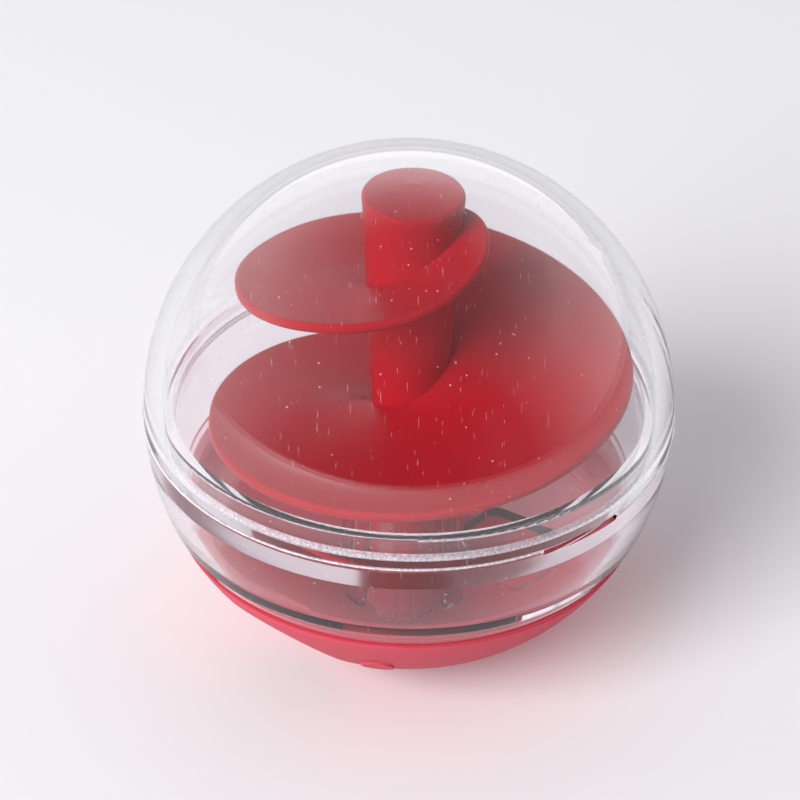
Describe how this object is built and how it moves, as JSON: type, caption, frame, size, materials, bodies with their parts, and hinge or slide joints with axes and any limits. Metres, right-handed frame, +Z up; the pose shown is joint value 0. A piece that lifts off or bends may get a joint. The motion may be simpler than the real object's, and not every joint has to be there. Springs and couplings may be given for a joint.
{
  "type": "spiral dispensing ball",
  "caption": "Clear plastic ball with a push-on dome, a red spiral ramp on a central post, a clear slotted floor and a red base cap with an exit hole.",
  "frame": {"origin": "centre of the flat foot on the surface that the ball stands on", "axes": "+Z up along the ball's and the post's axis; the wide side of the ramp's first turn falls away clockwise from +X, and the exit hole faces -X -Y and down"},
  "size_m": [0.0702, 0.0702, 0.0688],
  "materials": {
    "clear_plastic": "clear moulded polystyrene, glossy, with fine scuffs",
    "red_plastic": "red moulded plastic, satin gloss"
  },
  "bodies": {
    "base": {"base_cap": "red_plastic", "spiral_ramp": "red_plastic"},
    "shell": {"clear_shell": "clear_plastic"},
    "dome": {"clear_dome": "clear_plastic"}
  },
  "joints": [
    {"name": "shell_turn", "type": "hinge", "parent": "base", "child": "shell", "pos_m": [0, 0, 0.02147], "axis": [0, 0, 1], "continuous": true},
    {"name": "dome_lift", "type": "slide", "parent": "shell", "child": "dome", "axis": [0, 0, 1], "range_m": [0, 0.045]}
  ]
}
